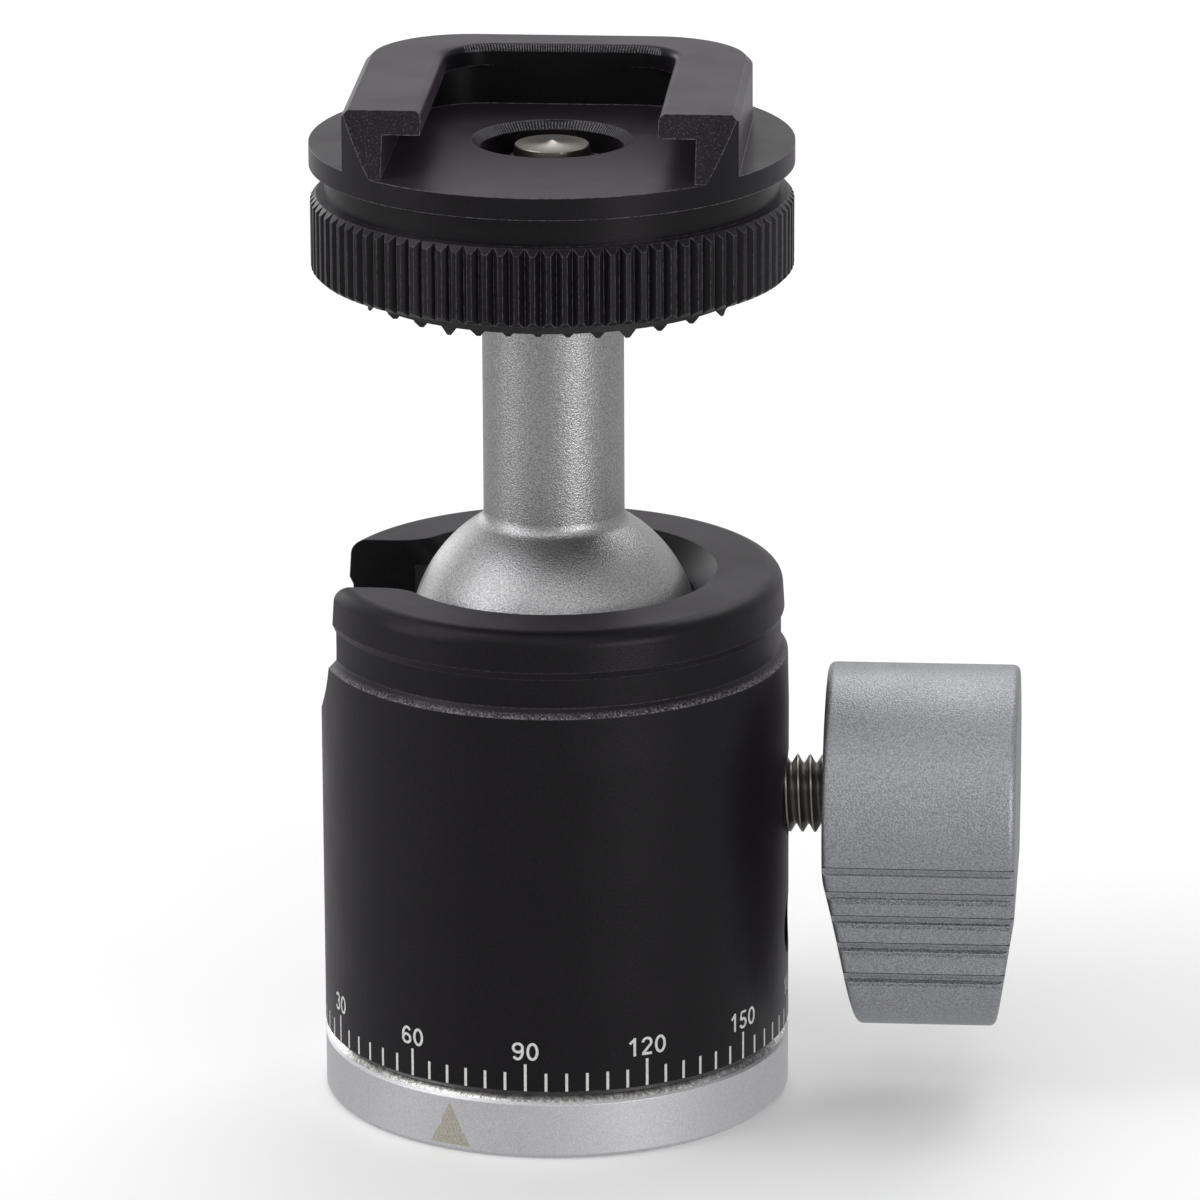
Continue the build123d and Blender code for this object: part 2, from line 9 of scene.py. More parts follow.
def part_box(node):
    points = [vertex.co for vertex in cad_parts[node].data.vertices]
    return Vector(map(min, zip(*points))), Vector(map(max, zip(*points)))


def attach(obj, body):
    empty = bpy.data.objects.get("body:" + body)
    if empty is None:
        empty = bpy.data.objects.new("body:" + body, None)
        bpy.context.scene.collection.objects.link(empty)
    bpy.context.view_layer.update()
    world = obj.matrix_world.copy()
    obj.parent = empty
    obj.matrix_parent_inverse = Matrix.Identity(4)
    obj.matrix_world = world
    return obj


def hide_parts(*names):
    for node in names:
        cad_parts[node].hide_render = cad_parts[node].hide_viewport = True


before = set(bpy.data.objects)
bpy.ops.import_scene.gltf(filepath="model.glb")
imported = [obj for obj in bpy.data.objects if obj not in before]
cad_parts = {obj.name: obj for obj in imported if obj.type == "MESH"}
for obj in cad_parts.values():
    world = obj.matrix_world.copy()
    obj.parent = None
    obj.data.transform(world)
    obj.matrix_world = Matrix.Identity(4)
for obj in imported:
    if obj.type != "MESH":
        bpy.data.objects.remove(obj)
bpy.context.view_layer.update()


# ---------------------------------------------------------------- Base plate
# The silver ring that the head stands on, turned from aluminium bar. It was bead-blasted and clear
# anodised, and then its top edge was turned once more, so that the edge shines. Its spigot runs up
# inside the housing.

mm = 0.001


def linear(code):
    """Linear RGBA of an sRGB hex code."""
    srgb = np.array([int(code[i : i + 2], 16) for i in (1, 3, 5)]) / 255
    return (*np.where(srgb <= 0.04045, srgb / 12.92, ((srgb + 0.055) / 1.055) ** 2.4), 1.0)


def add(tree, kind, settings=(), links=(), **properties):
    """Adds one node: properties set it up, settings fill its inputs, links join outputs to them."""
    made = tree.nodes.new(kind)
    for name, value in properties.items():
        setattr(made, name, value)
    for socket, value in dict(settings).items():
        made.inputs[socket].default_value = value
    for socket, output in dict(links).items():
        tree.links.new(output, made.inputs[socket])
    return made


def bead_blasted(
    name,
    tone,
    pit_tone,
    roughness,
    metallic,
    pit,
    depth,
    edge_tone,
    edge=0.1 * mm,
    chip=0.25 * mm,
):
    """Surface with the dents of glass beads side by side, as on aluminium that was blasted and then
    anodised, or on rubber from a blasted mould. A bead leaves a dent of 0.05 to 0.1 mm, too fine to
    show, so the dents are drawn 0.1 mm across or a little more. Broken edges are lighter, in chips:
    partly worn bare, on the rubber dusty, and partly a painted highlight along the edge."""
    material = bpy.data.materials.new(name)
    material.use_nodes = True
    tree = material.node_tree
    shader = tree.nodes["Principled BSDF"]
    place = add(tree, "ShaderNodeTexCoord").outputs["Object"]
    dents = add(tree, "ShaderNodeTexNoise", {"Scale": 1 / pit, "Detail": 2.0}, {"Vector": place})
    clouds = add(tree, "ShaderNodeTexNoise", {"Scale": 1 / (4 * mm)}, {"Vector": place})
    shade = add(
        tree,
        "ShaderNodeMapRange",
        {"From Min": 0.35, "From Max": 0.65},
        {"Value": dents.outputs["Fac"]},
    )
    colour = add(
        tree,
        "ShaderNodeMix",
        {6: linear(pit_tone), 7: linear(tone)},
        {0: shade.outputs["Result"]},
        data_type="RGBA",
    )
    rounded = add(tree, "ShaderNodeBevel", {"Radius": edge}, samples=4)
    facing = add(tree, "ShaderNodeNewGeometry")
    agreement = add(
        tree,
        "ShaderNodeVectorMath",
        links={0: rounded.outputs["Normal"], 1: facing.outputs["Normal"]},
        operation="DOT_PRODUCT",
    )
    # edges are painted lighter: partly wear, partly a painted highlight
    on_edge = add(
        tree,
        "ShaderNodeMapRange",
        {"From Min": 0.995, "From Max": 0.85},
        {"Value": agreement.outputs["Value"]},
    )
    chips = add(tree, "ShaderNodeTexNoise", {"Scale": 1 / chip, "Detail": 3.0}, {"Vector": place})
    chipped = add(
        tree,
        "ShaderNodeMapRange",
        {"From Min": 0.4, "From Max": 0.6, "To Min": 0.2},
        {"Value": chips.outputs["Fac"]},
    )
    edge_wear_and_highlight = add(
        tree,
        "ShaderNodeMath",
        links={0: on_edge.outputs["Result"], 1: chipped.outputs["Result"]},
        operation="MULTIPLY",
    )
    with_edge_wear_and_highlight = add(
        tree,
        "ShaderNodeMix",
        {7: linear(edge_tone)},
        {0: edge_wear_and_highlight.outputs["Value"], 6: colour.outputs[2]},
        data_type="RGBA",
    )
    gloss = add(
        tree,
        "ShaderNodeMapRange",
        {"From Min": 0.3, "From Max": 0.7, "To Min": roughness - 0.04, "To Max": roughness + 0.04},
        {"Value": clouds.outputs["Fac"]},
    )
    relief = add(
        tree,
        "ShaderNodeBump",
        {"Strength": 1.0, "Distance": depth},
        {"Height": dents.outputs["Fac"], "Normal": rounded.outputs["Normal"]},
    )
    shader.inputs["Metallic"].default_value = metallic
    tree.links.new(with_edge_wear_and_highlight.outputs[2], shader.inputs["Base Color"])
    tree.links.new(gloss.outputs["Result"], shader.inputs["Roughness"])
    tree.links.new(relief.outputs["Normal"], shader.inputs["Normal"])
    return material


def dress(node, material):
    """Gives a CAD node its finish."""
    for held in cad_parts[node].material_slots:
        held.material = material


clear_anodised = bead_blasted(
    "clear_anodised_aluminium",
    tone="#D9D9DB",
    pit_tone="#C7C7CB",
    roughness=0.48,
    metallic=0.9,
    pit=0.1 * mm,
    depth=0.006 * mm,
    edge_tone="#EAEAEA",
)
base_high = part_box("base_plate")[1]
flange_top = 4.2 * mm
edge_height = 0.38 * mm

# the turned edge: a smoother band below the flange's top, its colour speckled light and dark,
# partly by the marks of the tool and partly as painted glints
base_tree = clear_anodised.node_tree
base_shader = base_tree.nodes["Principled BSDF"]
base_place = add(base_tree, "ShaderNodeTexCoord").outputs["Object"]
base_height = add(base_tree, "ShaderNodeSeparateXYZ", links={0: base_place}).outputs["Z"]
in_band = add(
    base_tree,
    "ShaderNodeMath",
    {1: flange_top - edge_height / 2, 2: edge_height / 2 + 0.02 * mm},
    {0: base_height},
    operation="COMPARE",
)
tool_marks_and_glints = add(
    base_tree,
    "ShaderNodeTexNoise",
    {"Scale": 1 / (0.3 * mm), "Detail": 3.0, "Roughness": 0.7},
    {"Vector": base_place},
)
# light and dark specks: tool marks and painted glints
turned_tone_with_painted_glints = add(
    base_tree,
    "ShaderNodeMix",
    {6: linear("#A9A7A3"), 7: linear("#F4F4F2")},
    {
        0: add(
            base_tree,
            "ShaderNodeMapRange",
            {"From Min": 0.4, "From Max": 0.6},
            {"Value": tool_marks_and_glints.outputs["Fac"]},
        ).outputs["Result"]
    },
    data_type="RGBA",
)
banded_tone = add(
    base_tree,
    "ShaderNodeMix",
    links={
        0: in_band.outputs["Value"],
        6: base_shader.inputs["Base Color"].links[0].from_socket,
        7: turned_tone_with_painted_glints.outputs[2],
    },
    data_type="RGBA",
)
turned_roughness = 0.27
banded_roughness = add(
    base_tree,
    "ShaderNodeMix",
    {3: turned_roughness},
    {0: in_band.outputs["Value"], 2: base_shader.inputs["Roughness"].links[0].from_socket},
)
base_tree.links.new(banded_tone.outputs[2], base_shader.inputs["Base Color"])
base_tree.links.new(banded_roughness.outputs[0], base_shader.inputs["Roughness"])
dress("base_plate", clear_anodised)


# ---------------------------------------------------------------- Tripod thread
# The 1/4 inch thread in the middle of the base, cut with a tap after the blasting, so it is bare
# metal. It is drawn as a thin sleeve that lines the plate's plain bore.

inch = 25.4 * mm
turn_steps = 48


def thread(radius, pitch, low, high, end_radius, inward=False):
    """Grid of a screw thread round Z. Point (u, v) lies at u turns along the helix and v of a
    pitch across it, at height pitch * (u + v). Its radius goes from a flat crest down a 60 degree
    flank to the root and back, and runs out on a 45 degree cone at both ends."""
    drop = 0.6134 * pitch  # the standard depth of a screw's thread
    across = np.array([0.0, 0.0625, 0.4166, 0.5, 0.5834, 0.9375, 1.0])
    down = np.array([0.0, 0.0, 1.0, 1.06, 1.0, 0.0, 0.0])
    along = np.arange(np.floor(low / pitch) - 2, np.ceil(high / pitch) + 1, 1 / turn_steps)
    along, v = np.meshgrid(along, across, indexing="ij")
    height = np.clip(pitch * (along + v), low, high)
    run_out = np.minimum(height - low, high - height)
    if inward:
        r = radius - drop * (1 - down)
        r = np.maximum(r, end_radius - run_out)
    else:
        r = radius - drop * down
        r = np.minimum(r, end_radius + run_out)
    angle = 2 * pi * along
    return np.stack([r * np.cos(angle), r * np.sin(angle), height], -1)


def turned(profile):
    """Grid of a profile of (radius, height) pairs turned once round Z, as on a lathe."""
    profile = np.array(profile, float)
    angle = 2 * pi * np.arange(turn_steps + 1) / turn_steps
    r, angle = np.meshgrid(profile[:, 0], angle, indexing="ij")
    height = np.broadcast_to(profile[:, 1][:, None], r.shape)
    return np.stack([r * np.cos(angle), r * np.sin(angle), height], -1)


def make_piece(name, grids, material, body, sharp=30):
    """Makes one closed mesh of grids that meet edge to edge, and lets it ride on its body."""
    vertices, faces, first = [], [], 0
    for grid in grids:
        rows, columns = grid.shape[:2]
        index = first + np.arange(rows * columns).reshape(rows, columns)
        corners = (index[:-1, :-1], index[:-1, 1:], index[1:, 1:], index[1:, :-1])
        faces.append(np.stack(corners, -1).reshape(-1, 4))
        vertices.append(grid.reshape(-1, 3))
        first += rows * columns
    mesh = bpy.data.meshes.new(name)
    mesh.from_pydata(np.concatenate(vertices).tolist(), [], np.concatenate(faces).tolist())
    welded = bmesh.new()
    welded.from_mesh(mesh)
    bmesh.ops.remove_doubles(welded, verts=welded.verts, dist=0.0005 * mm)
    bmesh.ops.dissolve_degenerate(welded, edges=welded.edges, dist=0.0005 * mm)
    bmesh.ops.recalc_face_normals(welded, faces=welded.faces)
    welded.to_mesh(mesh)
    welded.free()
    mesh.shade_smooth()
    mesh.set_sharp_from_angle(angle=radians(sharp))
    mesh.materials.append(material)
    piece = bpy.data.objects.new(name, mesh)
    bpy.context.scene.collection.objects.link(piece)
    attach(piece, body)
    return piece


def machined(name, tone, roughness, grain, depth, metallic=1.0):
    """Turned metal or plastic: smooth, with a faint uneven grain that the tool left. Its rings are
    too fine to show, so the grain is drawn as coarse as it needs to be."""
    material = bpy.data.materials.new(name)
    material.use_nodes = True
    tree = material.node_tree
    shader = tree.nodes["Principled BSDF"]
    place = add(tree, "ShaderNodeTexCoord").outputs["Object"]
    marks = add(tree, "ShaderNodeTexNoise", {"Scale": 1 / grain, "Detail": 3.0}, {"Vector": place})
    shade = add(
        tree,
        "ShaderNodeHueSaturation",
        {"Color": linear(tone)},
        {
            "Value": add(
                tree,
                "ShaderNodeMapRange",
                {"From Min": 0.3, "From Max": 0.7, "To Min": 0.85, "To Max": 1.1},
                {"Value": marks.outputs["Fac"]},
            ).outputs["Result"]
        },
    )
    relief = add(
        tree,
        "ShaderNodeBump",
        {"Strength": 1.0, "Distance": depth},
        {"Height": marks.outputs["Fac"]},
    )
    shader.inputs["Metallic"].default_value = metallic
    shader.inputs["Roughness"].default_value = roughness
    tree.links.new(shade.outputs["Color"], shader.inputs["Base Color"])
    tree.links.new(relief.outputs["Normal"], shader.inputs["Normal"])
    return material


bare_aluminium = machined("tapped_aluminium", "#C4C4C4", 0.3, grain=0.2 * mm, depth=0.004 * mm)
tripod_radius = 0.125 * inch
tripod_depth = 9 * mm
sleeve_foot = 0.02 * mm
sleeve_radius = tripod_radius + 0.03 * mm
make_piece(
    "tripod_thread",
    [
        thread(tripod_radius, inch / 20, sleeve_foot, tripod_depth, sleeve_radius, inward=True),
        turned([(sleeve_radius, sleeve_foot), (sleeve_radius, tripod_depth)]),
    ],
    bare_aluminium,
    "base",
)


# ---------------------------------------------------------------- Pointer
# A small triangle marked on the base with a laser, which reads against the degree scale above it.
# It is a little duller and warmer than the blasted metal round it.


def cube_skin(steps):
    """The six sides of the unit cube as grids of (across, up, out), with steps divisions across."""
    a, b = np.meshgrid(np.linspace(0, 1, steps + 1), (0.0, 1.0), indexing="ij")
    c, d = np.meshgrid((0.0, 1.0), (0.0, 1.0), indexing="ij")
    sides = []
    for end in (0.0, 1.0):
        sides.append(np.stack([a, b, np.full_like(a, end)], -1))
        sides.append(np.stack([a, np.full_like(a, end), b], -1))
        sides.append(np.stack([np.full_like(c, end), c, d], -1))
    return sides


mark_proud = 0.012 * mm


def mark_on_cylinder(radius, azimuth, width, low, high, narrowing=0.0, steps=1):
    """Grids of a thin mark that follows a cylinder: the unit cube bent round it, as far proud of it
    as it is sunk, with its width falling by the share narrowing towards its top."""
    grids = []
    for side in cube_skin(steps):
        half = width / radius / 2 * (1 - narrowing * side[..., 1])
        angle = azimuth + half * (2 * side[..., 0] - 1)
        r = radius - mark_proud + 2 * mark_proud * side[..., 2]
        height = low + (high - low) * side[..., 1]
        grids.append(np.stack([r * np.cos(angle), r * np.sin(angle), height], -1))
    return grids


body_radius = base_high.x
pointer_azimuth = radians(-112.5)
laser_mark = bead_blasted(
    "laser_marked_aluminium",
    tone="#C4BFB3",
    pit_tone="#A8A397",
    roughness=0.55,
    metallic=0.8,
    pit=0.13 * mm,
    depth=0.01 * mm,
    edge_tone="#C4BFB3",
    edge=0.005 * mm,
)
make_piece(
    "pointer",
    mark_on_cylinder(
        body_radius,
        pointer_azimuth,
        width=2.8 * mm,
        low=0.5 * mm,
        high=3.25 * mm,
        narrowing=0.99,
        steps=8,
    ),
    laser_mark,
    "base",
)


# ---------------------------------------------------------------- Housing
# The round body: turned and milled from aluminium, fine-blasted and dyed black. The layer is matt,
# with a trace of purple in the light. Its broken edges carry a fine light line, partly bare metal
# and partly a painted highlight, and the chamfer under the relief a painted highlight in specks.

black_anodised = bead_blasted(
    "black_anodised_aluminium",
    tone="#0D0C0E",
    pit_tone="#050506",
    roughness=0.4,
    metallic=0.0,
    pit=0.13 * mm,
    depth=0.014 * mm,
    edge_tone="#6A676C",
)


def dye_bloom(material, gloss, bloom):
    """The dyed layer reflects less than bare plastic or glass, with a purple bloom at low angles."""
    shader = material.node_tree.nodes["Principled BSDF"]
    shader.inputs["Specular IOR Level"].default_value = gloss
    shader.inputs["Specular Tint"].default_value = linear("#FAF2F8")
    shader.inputs["Sheen Weight"].default_value = bloom
    shader.inputs["Sheen Roughness"].default_value = 0.45
    shader.inputs["Sheen Tint"].default_value = linear("#F0D8F4")


dye_bloom(black_anodised, gloss=0.22, bloom=0.06)

# a painted highlight on the chamfer under the relief: light specks, more of them towards its lower
# edge
chamfer_middle = 29.55 * mm
chamfer_reach = 0.29 * mm
body_tree = black_anodised.node_tree
body_place = add(body_tree, "ShaderNodeTexCoord").outputs["Object"]
body_height = add(body_tree, "ShaderNodeSeparateXYZ", links={0: body_place}).outputs["Z"]
on_chamfer = add(
    body_tree,
    "ShaderNodeMath",
    {1: chamfer_middle, 2: chamfer_reach},
    {0: body_height},
    operation="COMPARE",
)
highlight_specks = add(
    body_tree,
    "ShaderNodeTexNoise",
    {"Scale": 1 / (0.13 * mm), "Detail": 3.0, "Roughness": 0.6},
    {"Vector": body_place},
)
highlight_share = add(
    body_tree,
    "ShaderNodeMapRange",
    {"From Min": 0.42, "From Max": 0.68},
    {"Value": highlight_specks.outputs["Fac"]},
)
highlight_falloff = add(
    body_tree,
    "ShaderNodeMapRange",
    {"From Min": chamfer_middle + 0.1 * mm, "From Max": chamfer_middle - chamfer_reach},
    {"Value": body_height},
)
painted_highlight = add(
    body_tree,
    "ShaderNodeMath",
    links={0: highlight_share.outputs["Result"], 1: highlight_falloff.outputs["Result"]},
    operation="MULTIPLY",
)
# painted highlight: light specks on the chamfer
painted_highlight_tone = add(
    body_tree,
    "ShaderNodeMix",
    {6: linear("#100F11"), 7: linear("#88858A")},
    {0: painted_highlight.outputs["Value"]},
    data_type="RGBA",
)
body_edges = body_tree.nodes["Principled BSDF"].inputs["Base Color"].links[0].from_node
chamfer_colour = add(
    body_tree,
    "ShaderNodeMix",
    links={
        0: on_chamfer.outputs["Value"],
        6: body_edges.inputs[6].links[0].from_socket,
        7: painted_highlight_tone.outputs[2],
    },
    data_type="RGBA",
)
body_tree.links.new(chamfer_colour.outputs[2], body_edges.inputs[6])
dress("housing", black_anodised)


# ---------------------------------------------------------------- Degree scale
# White ticks every 5 degrees and a number every 30, marked with a laser round the foot of the
# housing, so that panning can be read against the pointer.

tick_low = 4.6 * mm
short_tick = 1.2 * mm
long_tick = 1.8 * mm
tick_width = 0.175 * mm
digit_height = 1.22 * mm
digit_gap = 0.24 * mm
scale_start = radians(-183.1)

white_mark = bpy.data.materials.new("white_laser_mark")
white_mark.use_nodes = True
white_tree = white_mark.node_tree
white_place = add(white_tree, "ShaderNodeTexCoord").outputs["Object"]
white_speckle = add(
    white_tree, "ShaderNodeTexNoise", {"Scale": 1 / (0.15 * mm)}, {"Vector": white_place}
)
white_colour = add(
    white_tree,
    "ShaderNodeMix",
    {6: linear("#A2A2A0"), 7: linear("#DCDCD9")},
    {0: white_speckle.outputs["Fac"]},
    data_type="RGBA",
)
white_shader = white_tree.nodes["Principled BSDF"]
white_shader.inputs["Roughness"].default_value = 0.7
white_tree.links.new(white_colour.outputs[2], white_shader.inputs["Base Color"])

tick_grids = []
for degree in range(0, 360, 5):
    tick_grids += mark_on_cylinder(
        body_radius,
        scale_start + radians(degree),
        tick_width,
        tick_low,
        tick_low + (long_tick if degree % 30 == 0 else short_tick),
    )
make_piece("scale_ticks", tick_grids, white_mark, "housing")


# each digit is drawn with a pen in a cell one digit high: strokes of straight lines and arcs
cell_width = 0.65
cell_pitch = 0.76
pen = 0.142


def arc(x, y, across, up, start, end):
    """Points on an ellipse about (x, y), from one angle in degrees to another."""
    angle = np.radians(np.linspace(start, end, 25))
    return np.stack([x + across * np.cos(angle), y + up * np.sin(angle)], -1)


def straight(*points):
    """Points of a stroke of straight lines."""
    return np.array(points, float)


middle = cell_width / 2
six = [arc(middle, 0.31, 0.245, 0.232, 0, 360), arc(0.345, 0.5, 0.262, 0.42, 190, 42)]
five_top = straight((0.57, 0.922), (0.18, 0.922), (0.125, 0.5))
five_bowl = arc(0.31, 0.315, 0.245, 0.237, 125, -160)
digits = {
    "0": [arc(middle, 0.5, 0.245, 0.422, 0, 360)],
    "1": [straight((0.4, 0.0), (0.4, 1.0)), straight((0.13, 0.7), (0.38, 0.9))],
    "2": [
        np.concatenate([arc(middle, 0.69, 0.235, 0.232, 175, -35), straight((0.11, 0.11))]),
        straight((0.05, 0.078), (0.6, 0.078)),
    ],
    "3": [arc(0.315, 0.715, 0.2, 0.205, 165, -90), arc(0.315, 0.295, 0.24, 0.217, 90, -165)],
    "4": [
        straight((0.43, 0.0), (0.43, 1.0)),
        straight((0.41, 0.93), (0.08, 0.3)),
        straight((0.02, 0.26), (0.62, 0.26)),
    ],
    "5": [five_top, five_bowl],
    "6": six,
    "7": [straight((0.04, 0.922), (0.6, 0.922)), arc(0.76, 0.0, 0.55, 0.95, 180, 110)],
    "8": [arc(middle, 0.72, 0.19, 0.2, 0, 360), arc(middle, 0.29, 0.24, 0.212, 0, 360)],
    "9": [np.array([cell_width, 1.0]) - stroke for stroke in six],
}


def pen_stroke(path, azimuth, foot):
    """Grids of a thin ribbon, as wide as the pen, that follows a path on the housing. Its corners
    lie half a pen to each side of the path, along the path's normal."""
    along = np.gradient(path, axis=0)
    normal = np.stack([-along[:, 1], along[:, 0]], -1)
    normal *= pen / 2 / np.linalg.norm(normal, axis=1, keepdims=True)
    corners = [(1, 1), (-1, 1), (-1, -1), (1, -1), (1, 1)]
    ring = []
    for side, lift in corners:
        x, y = (path + side * normal).T * digit_height
        r = body_radius + lift * mark_proud
        angle = azimuth + x / body_radius
        ring.append(np.stack([r * np.cos(angle), r * np.sin(angle), foot + y], -1))
    ring = np.stack(ring, 1)
    if np.allclose(path[0], path[-1]):
        return [ring]
    ends = [ring[end][[0, 1, 3, 2]].reshape(2, 2, 3) for end in (0, -1)]
    return [ring, *ends]


number_grids = []
for degree in range(0, 360, 30):
    text = str(degree)
    start = -((len(text) - 1) * cell_pitch + cell_width) / 2
    for place_in_number, digit in enumerate(text):
        for stroke in digits[digit]:
            number_grids += pen_stroke(
                stroke + np.array([start + place_in_number * cell_pitch, 0]),
                scale_start + radians(degree),
                tick_low + long_tick + digit_gap,
            )
make_piece("scale_numbers", number_grids, white_mark, "housing")


# ---------------------------------------------------------------- Set screw
# M4 grub screw that holds the base on, with a hexagon socket. Its steel is blackened in oil.

black_oxide = machined("black_oxide_steel", "#3A3836", 0.42, grain=0.2 * mm, depth=0.004 * mm)
dress("set_screw", black_oxide)


# ---------------------------------------------------------------- Washers and ball seats
# Turned and moulded acetal: the pan washer and friction cup natural white, the seat ring black.
# The set screw's tip is nylon.


def acetal(name, tone, roughness):
    """Acetal: a dense, slightly waxy plastic, with the faint grain of the tool that cut it."""
    return machined(name, tone, roughness, grain=0.3 * mm, depth=0.003 * mm, metallic=0.0)


white_acetal = acetal("natural_acetal", "#E4E2DA", 0.45)
black_acetal = acetal("black_acetal", "#1B1B1C", 0.42)
for node in ("pan_washer", "friction_cup", "nylon_tip"):
    dress(node, white_acetal)
dress("seat_ring", black_acetal)


# ---------------------------------------------------------------- Clamp works inside
# Two coned springs on a steel washer, the aluminium piston with its steel guide pin, and the brass
# pin whose point wedges the piston up. None of it shows from outside.

spring_steel = machined("spring_steel", "#8E8A84", 0.35, grain=0.3 * mm, depth=0.003 * mm)
for node in ("disc_springs", "spring_washer", "guide_pin"):
    dress(node, spring_steel)
dress("pressure_piston", bare_aluminium)
dress("thrust_pin", machined("turned_brass", "#C8A45A", 0.28, grain=0.2 * mm, depth=0.003 * mm))


# ---------------------------------------------------------------- Ball and stem
# Ball and neck are one piece of aluminium, turned, blasted with coarser beads and anodised grey.
# The dents show as a fine grain that glitters a little.

grey_anodised = bead_blasted(
    "grey_anodised_aluminium",
    tone="#BABABB",
    pit_tone="#949496",
    roughness=0.38,
    metallic=1.0,
    pit=0.11 * mm,
    depth=0.033 * mm,
    edge_tone="#C8C8C8",
)
dress("ball_stem", grey_anodised)


# ---------------------------------------------------------------- Stud
# The 1/4 inch stud that joins stem, wheel and shoe, turned from stainless steel. Its end stands in
# the shoe's sink, slightly crowned, with the nib that parting off left in the middle.

stainless = machined("stainless_steel", "#94908A", 0.32, grain=0.25 * mm, depth=0.006 * mm)
stud_low, stud_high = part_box("top_stud")
stud_radius = 3.15 * mm
stud_end = 62.5 * mm
point_foot = 61.9 * mm
point_radius = (2.45 * mm, 2.35 * mm)
stud_nib = (0.5 * mm, 0.17 * mm)
stud = make_piece(
    "stud",
    [
        thread(stud_radius, inch / 20, stud_low.z, point_foot, point_radius[0]),
        turned([(point_radius[0], stud_low.z), (0, stud_low.z)]),
        turned(
            [
                (point_radius[0], point_foot),
                (point_radius[1], stud_end - 0.05 * mm),
                (point_radius[1] - 0.05 * mm, stud_end),
                (stud_nib[0], stud_end + 0.07 * mm),
                (stud_nib[1], stud_high.z - 0.05 * mm),
                (0, stud_high.z),
            ]
        ),
    ],
    stainless,
    "ball",
)
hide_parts("top_stud")


# ---------------------------------------------------------------- Lock wheel
# Toothed wheel that is screwed up under the shoe to hold it. Its teeth were cut before the black
# anodising, and every edge of them is painted a little lighter, as a painted highlight.

wheel_black = bead_blasted(
    "wheel_black_anodised",
    tone="#0D0C0E",
    pit_tone="#050506",
    roughness=0.36,
    metallic=0.0,
    pit=0.15 * mm,
    depth=0.012 * mm,
    edge_tone="#6E6C71",
    edge=0.08 * mm,
)
dye_bloom(wheel_black, gloss=0.28, bloom=0.05)
dress("lock_wheel", wheel_black)


# ---------------------------------------------------------------- Rubber pad
# Ring of moulded rubber under the wheel, with rows of small pyramids for the fingers. It is matt
# and very dark brown, a little paler along the edges, where dust stays.

rubber = bead_blasted(
    "black_rubber",
    tone="#1C1917",
    pit_tone="#0F0D0C",
    roughness=0.62,
    metallic=0.0,
    pit=0.25 * mm,
    depth=0.03 * mm,
    edge_tone="#2A2522",
)
dress("rubber_pad", rubber)


# ---------------------------------------------------------------- Shoe socket
# Disc and shoe rails, milled from one piece, fine-blasted and dyed black. The cutter left small
# marks on the chamfers. The sloped fronts of the rails are painted darker as shade, with light
# specks as painted glints.

shoe_black = bead_blasted(
    "shoe_black_anodised",
    tone="#0E0D0F",
    pit_tone="#060607",
    roughness=0.33,
    metallic=0.0,
    pit=0.12 * mm,
    depth=0.007 * mm,
    edge_tone="#8F8D91",
    edge=0.08 * mm,
)
dye_bloom(shoe_black, gloss=0.22, bloom=0.06)
shoe_tree = shoe_black.node_tree
shoe_place = add(shoe_tree, "ShaderNodeTexCoord").outputs
shoe_edge_mix = shoe_tree.nodes["Principled BSDF"].inputs["Base Color"].links[0].from_node
# the sloped rail fronts, picked by their facing: painted darker as shade, with light specks as painted
# glints
front_normal = (0.0, -0.89, 0.46)
front_match = 0.985
rail_front = add(
    shoe_tree,
    "ShaderNodeMath",
    {1: front_match},
    {
        0: add(
            shoe_tree,
            "ShaderNodeVectorMath",
            {1: front_normal},
            {0: shoe_place["Normal"]},
            operation="DOT_PRODUCT",
        ).outputs["Value"]
    },
    operation="GREATER_THAN",
)
speck_grain = add(
    shoe_tree,
    "ShaderNodeTexNoise",
    {"Scale": 1 / (0.12 * mm), "Detail": 3.0, "Roughness": 0.6},
    {"Vector": shoe_place["Object"]},
)
painted_front_shade = add(
    shoe_tree,
    "ShaderNodeMix",
    {6: linear("#030304"), 7: linear("#3A383C")},
    {
        0: add(
            shoe_tree,
            "ShaderNodeMapRange",
            {"From Min": 0.54, "From Max": 0.7},
            {"Value": speck_grain.outputs["Fac"]},
        ).outputs["Result"]
    },
    data_type="RGBA",
)
shaded_fronts = add(
    shoe_tree,
    "ShaderNodeMix",
    links={
        0: rail_front.outputs["Value"],
        6: shoe_edge_mix.inputs[6].links[0].from_socket,
        7: painted_front_shade.outputs[2],
    },
    data_type="RGBA",
)
shoe_tree.links.new(shaded_fronts.outputs[2], shoe_edge_mix.inputs[6])

